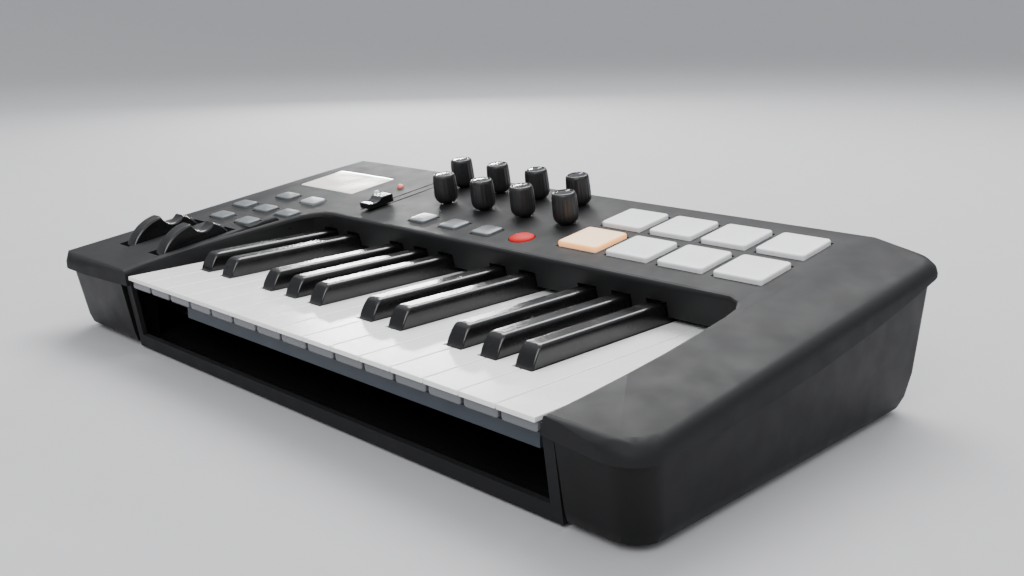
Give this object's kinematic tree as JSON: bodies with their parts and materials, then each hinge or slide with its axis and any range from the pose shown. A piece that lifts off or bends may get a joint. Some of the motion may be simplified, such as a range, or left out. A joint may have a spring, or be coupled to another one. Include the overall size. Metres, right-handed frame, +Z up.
{
  "type": "midi keyboard",
  "caption": "Compact desktop controller keyboard with piano-style keys, pitch and mod wheels, finger pads, rotary knobs, a fader, buttons and a display.",
  "frame": {"origin": "centre of the bounding box, on the floor under the feet", "axes": "+X to the player's right, +Y away from the player towards the back, +Z up"},
  "size_m": [0.5016, 0.2534, 0.1053],
  "materials": {
    "case": "fine satin texture",
    "tub": "matte",
    "bed": "matte moulding",
    "ivory": "polished",
    "ebony": "polished",
    "rubber": "soft ribbed",
    "button": "satin",
    "pad": "silicone",
    "lamp_pad": "lit silicone",
    "record": "satin",
    "window": "polished",
    "board": "solder mask"
  },
  "bodies": {
    "case": {"bottom_case": "tub", "top_case": "case", "key_chassis": "bed", "display_window": "window", "main_board": "board"},
    "white_key_1": {"white_key_1": "ivory"},
    "white_key_2": {"white_key_2": "ivory"},
    "white_key_3": {"white_key_3": "ivory"},
    "white_key_4": {"white_key_4": "ivory"},
    "white_key_5": {"white_key_5": "ivory"},
    "white_key_6": {"white_key_6": "ivory"},
    "white_key_7": {"white_key_7": "ivory"},
    "white_key_8": {"white_key_8": "ivory"},
    "white_key_9": {"white_key_9": "ivory"},
    "white_key_10": {"white_key_10": "ivory"},
    "white_key_11": {"white_key_11": "ivory"},
    "white_key_12": {"white_key_12": "ivory"},
    "white_key_13": {"white_key_13": "ivory"},
    "white_key_14": {"white_key_14": "ivory"},
    "white_key_15": {"white_key_15": "ivory"},
    "black_key_1": {"black_key_1": "ebony"},
    "black_key_2": {"black_key_2": "ebony"},
    "black_key_3": {"black_key_3": "ebony"},
    "black_key_4": {"black_key_4": "ebony"},
    "black_key_5": {"black_key_5": "ebony"},
    "black_key_6": {"black_key_6": "ebony"},
    "black_key_7": {"black_key_7": "ebony"},
    "black_key_8": {"black_key_8": "ebony"},
    "black_key_9": {"black_key_9": "ebony"},
    "black_key_10": {"black_key_10": "ebony"},
    "pitch_wheel": {"pitch_wheel": "ebony"},
    "mod_wheel": {"mod_wheel": "ebony"},
    "function_button_1": {"function_button_1": "button"},
    "function_button_2": {"function_button_2": "button"},
    "function_button_3": {"function_button_3": "button"},
    "function_button_4": {"function_button_4": "button"},
    "function_button_5": {"function_button_5": "button"},
    "function_button_6": {"function_button_6": "button"},
    "function_button_7": {"function_button_7": "button"},
    "transport_button_1": {"transport_button_1": "button"},
    "transport_button_2": {"transport_button_2": "button"},
    "transport_button_3": {"transport_button_3": "button"},
    "record_button": {"record_button": "record"},
    "knob_1": {"knob_1": "rubber"},
    "knob_2": {"knob_2": "rubber"},
    "knob_3": {"knob_3": "rubber"},
    "knob_4": {"knob_4": "rubber"},
    "knob_5": {"knob_5": "rubber"},
    "knob_6": {"knob_6": "rubber"},
    "knob_7": {"knob_7": "rubber"},
    "knob_8": {"knob_8": "rubber"},
    "pad_1": {"pad_1": "lamp_pad"},
    "pad_2": {"pad_2": "pad"},
    "pad_3": {"pad_3": "pad"},
    "pad_4": {"pad_4": "pad"},
    "pad_5": {"pad_5": "pad"},
    "pad_6": {"pad_6": "pad"},
    "pad_7": {"pad_7": "pad"},
    "pad_8": {"pad_8": "pad"},
    "fader_cap": {"fader_cap": "ebony"}
  },
  "joints": [
    {"name": "white_key_1_press", "type": "hinge", "parent": "case", "child": "white_key_1", "pos_m": [-0.147, 0.02865, 0.045], "axis": [1, 0, 0], "range_deg": [0, 3.6]},
    {"name": "white_key_2_press", "type": "hinge", "parent": "case", "child": "white_key_2", "pos_m": [-0.1235, 0.02865, 0.045], "axis": [1, 0, 0], "range_deg": [0, 3.6]},
    {"name": "white_key_3_press", "type": "hinge", "parent": "case", "child": "white_key_3", "pos_m": [-0.1, 0.02865, 0.045], "axis": [1, 0, 0], "range_deg": [0, 3.6]},
    {"name": "white_key_4_press", "type": "hinge", "parent": "case", "child": "white_key_4", "pos_m": [-0.0765, 0.02865, 0.045], "axis": [1, 0, 0], "range_deg": [0, 3.6]},
    {"name": "white_key_5_press", "type": "hinge", "parent": "case", "child": "white_key_5", "pos_m": [-0.053, 0.02865, 0.045], "axis": [1, 0, 0], "range_deg": [0, 3.6]},
    {"name": "white_key_6_press", "type": "hinge", "parent": "case", "child": "white_key_6", "pos_m": [-0.0295, 0.02865, 0.045], "axis": [1, 0, 0], "range_deg": [0, 3.6]},
    {"name": "white_key_7_press", "type": "hinge", "parent": "case", "child": "white_key_7", "pos_m": [-0.006, 0.02865, 0.045], "axis": [1, 0, 0], "range_deg": [0, 3.6]},
    {"name": "white_key_8_press", "type": "hinge", "parent": "case", "child": "white_key_8", "pos_m": [0.0175, 0.02865, 0.045], "axis": [1, 0, 0], "range_deg": [0, 3.6]},
    {"name": "white_key_9_press", "type": "hinge", "parent": "case", "child": "white_key_9", "pos_m": [0.041, 0.02865, 0.045], "axis": [1, 0, 0], "range_deg": [0, 3.6]},
    {"name": "white_key_10_press", "type": "hinge", "parent": "case", "child": "white_key_10", "pos_m": [0.0645, 0.02865, 0.045], "axis": [1, 0, 0], "range_deg": [0, 3.6]},
    {"name": "white_key_11_press", "type": "hinge", "parent": "case", "child": "white_key_11", "pos_m": [0.088, 0.02865, 0.045], "axis": [1, 0, 0], "range_deg": [0, 3.6]},
    {"name": "white_key_12_press", "type": "hinge", "parent": "case", "child": "white_key_12", "pos_m": [0.1115, 0.02865, 0.045], "axis": [1, 0, 0], "range_deg": [0, 3.6]},
    {"name": "white_key_13_press", "type": "hinge", "parent": "case", "child": "white_key_13", "pos_m": [0.135, 0.02865, 0.045], "axis": [1, 0, 0], "range_deg": [0, 3.6]},
    {"name": "white_key_14_press", "type": "hinge", "parent": "case", "child": "white_key_14", "pos_m": [0.1585, 0.02865, 0.045], "axis": [1, 0, 0], "range_deg": [0, 3.6]},
    {"name": "white_key_15_press", "type": "hinge", "parent": "case", "child": "white_key_15", "pos_m": [0.182, 0.02865, 0.045], "axis": [1, 0, 0], "range_deg": [0, 3.6]},
    {"name": "black_key_1_press", "type": "hinge", "parent": "case", "child": "black_key_1", "pos_m": [-0.13585, 0.02865, 0.045], "axis": [1, 0, 0], "range_deg": [0, 3.6]},
    {"name": "black_key_2_press", "type": "hinge", "parent": "case", "child": "black_key_2", "pos_m": [-0.11145, 0.02865, 0.045], "axis": [1, 0, 0], "range_deg": [0, 3.6]},
    {"name": "black_key_3_press", "type": "hinge", "parent": "case", "child": "black_key_3", "pos_m": [-0.06555, 0.02865, 0.045], "axis": [1, 0, 0], "range_deg": [0, 3.6]},
    {"name": "black_key_4_press", "type": "hinge", "parent": "case", "child": "black_key_4", "pos_m": [-0.04145, 0.02865, 0.045], "axis": [1, 0, 0], "range_deg": [0, 3.6]},
    {"name": "black_key_5_press", "type": "hinge", "parent": "case", "child": "black_key_5", "pos_m": [-0.01775, 0.02865, 0.045], "axis": [1, 0, 0], "range_deg": [0, 3.6]},
    {"name": "black_key_6_press", "type": "hinge", "parent": "case", "child": "black_key_6", "pos_m": [0.02865, 0.02865, 0.045], "axis": [1, 0, 0], "range_deg": [0, 3.6]},
    {"name": "black_key_7_press", "type": "hinge", "parent": "case", "child": "black_key_7", "pos_m": [0.05305, 0.02865, 0.045], "axis": [1, 0, 0], "range_deg": [0, 3.6]},
    {"name": "black_key_8_press", "type": "hinge", "parent": "case", "child": "black_key_8", "pos_m": [0.09895, 0.02865, 0.045], "axis": [1, 0, 0], "range_deg": [0, 3.6]},
    {"name": "black_key_9_press", "type": "hinge", "parent": "case", "child": "black_key_9", "pos_m": [0.12305, 0.02865, 0.045], "axis": [1, 0, 0], "range_deg": [0, 3.6]},
    {"name": "black_key_10_press", "type": "hinge", "parent": "case", "child": "black_key_10", "pos_m": [0.14675, 0.02865, 0.045], "axis": [1, 0, 0], "range_deg": [0, 3.6]},
    {"name": "pitch_wheel_turn", "type": "hinge", "parent": "case", "child": "pitch_wheel", "pos_m": [-0.17615, -0.06405, 0.044], "axis": [1, 0, 0], "range_deg": [-45, 45]},
    {"name": "mod_wheel_turn", "type": "hinge", "parent": "case", "child": "mod_wheel", "pos_m": [-0.21635, -0.06405, 0.044], "axis": [1, 0, 0], "range_deg": [-45, 45]},
    {"name": "function_button_1_press", "type": "slide", "parent": "case", "child": "function_button_1", "axis": [0, 0.1386, -0.9903], "range_m": [0, 0.0012]},
    {"name": "function_button_2_press", "type": "slide", "parent": "case", "child": "function_button_2", "axis": [0, 0.1386, -0.9903], "range_m": [0, 0.0012]},
    {"name": "function_button_3_press", "type": "slide", "parent": "case", "child": "function_button_3", "axis": [0, 0.1386, -0.9903], "range_m": [0, 0.0012]},
    {"name": "function_button_4_press", "type": "slide", "parent": "case", "child": "function_button_4", "axis": [0, 0.1386, -0.9903], "range_m": [0, 0.0012]},
    {"name": "function_button_5_press", "type": "slide", "parent": "case", "child": "function_button_5", "axis": [0, 0.1386, -0.9903], "range_m": [0, 0.0012]},
    {"name": "function_button_6_press", "type": "slide", "parent": "case", "child": "function_button_6", "axis": [0, 0.1386, -0.9903], "range_m": [0, 0.0012]},
    {"name": "function_button_7_press", "type": "slide", "parent": "case", "child": "function_button_7", "axis": [0, 0.1386, -0.9903], "range_m": [0, 0.0012]},
    {"name": "transport_button_1_press", "type": "slide", "parent": "case", "child": "transport_button_1", "axis": [0, 0.1386, -0.9903], "range_m": [0, 0.0012]},
    {"name": "transport_button_2_press", "type": "slide", "parent": "case", "child": "transport_button_2", "axis": [0, 0.1386, -0.9903], "range_m": [0, 0.0012]},
    {"name": "transport_button_3_press", "type": "slide", "parent": "case", "child": "transport_button_3", "axis": [0, 0.1386, -0.9903], "range_m": [0, 0.0012]},
    {"name": "record_button_press", "type": "slide", "parent": "case", "child": "record_button", "axis": [0, 0.1386, -0.9903], "range_m": [0, 0.0012]},
    {"name": "knob_1_turn", "type": "hinge", "parent": "case", "child": "knob_1", "pos_m": [-0.07165, 0.06865, 0.07976], "axis": [0, -0.1386, 0.9903], "range_deg": [-150, 150]},
    {"name": "knob_2_turn", "type": "hinge", "parent": "case", "child": "knob_2", "pos_m": [-0.03515, 0.06865, 0.07976], "axis": [0, -0.1386, 0.9903], "range_deg": [-150, 150]},
    {"name": "knob_3_turn", "type": "hinge", "parent": "case", "child": "knob_3", "pos_m": [0.00135, 0.06865, 0.07976], "axis": [0, -0.1386, 0.9903], "range_deg": [-150, 150]},
    {"name": "knob_4_turn", "type": "hinge", "parent": "case", "child": "knob_4", "pos_m": [0.03785, 0.06865, 0.07976], "axis": [0, -0.1386, 0.9903], "range_deg": [-150, 150]},
    {"name": "knob_5_turn", "type": "hinge", "parent": "case", "child": "knob_5", "pos_m": [-0.09015, 0.10155, 0.08437], "axis": [0, -0.1386, 0.9903], "range_deg": [-150, 150]},
    {"name": "knob_6_turn", "type": "hinge", "parent": "case", "child": "knob_6", "pos_m": [-0.05365, 0.10155, 0.08437], "axis": [0, -0.1386, 0.9903], "range_deg": [-150, 150]},
    {"name": "knob_7_turn", "type": "hinge", "parent": "case", "child": "knob_7", "pos_m": [-0.01715, 0.10155, 0.08437], "axis": [0, -0.1386, 0.9903], "range_deg": [-150, 150]},
    {"name": "knob_8_turn", "type": "hinge", "parent": "case", "child": "knob_8", "pos_m": [0.01935, 0.10155, 0.08437], "axis": [0, -0.1386, 0.9903], "range_deg": [-150, 150]},
    {"name": "pad_1_press", "type": "slide", "parent": "case", "child": "pad_1", "axis": [0, 0.1386, -0.9903], "range_m": [0, 0.001]},
    {"name": "pad_2_press", "type": "slide", "parent": "case", "child": "pad_2", "axis": [0, 0.1386, -0.9903], "range_m": [0, 0.001]},
    {"name": "pad_3_press", "type": "slide", "parent": "case", "child": "pad_3", "axis": [0, 0.1386, -0.9903], "range_m": [0, 0.001]},
    {"name": "pad_4_press", "type": "slide", "parent": "case", "child": "pad_4", "axis": [0, 0.1386, -0.9903], "range_m": [0, 0.001]},
    {"name": "pad_5_press", "type": "slide", "parent": "case", "child": "pad_5", "axis": [0, 0.1386, -0.9903], "range_m": [0, 0.001]},
    {"name": "pad_6_press", "type": "slide", "parent": "case", "child": "pad_6", "axis": [0, 0.1386, -0.9903], "range_m": [0, 0.001]},
    {"name": "pad_7_press", "type": "slide", "parent": "case", "child": "pad_7", "axis": [0, 0.1386, -0.9903], "range_m": [0, 0.001]},
    {"name": "pad_8_press", "type": "slide", "parent": "case", "child": "pad_8", "axis": [0, 0.1386, -0.9903], "range_m": [0, 0.001]},
    {"name": "fader_slide", "type": "slide", "parent": "case", "child": "fader_cap", "axis": [0, 0.9903, 0.1386], "range_m": [0, 0.045]}
  ]
}
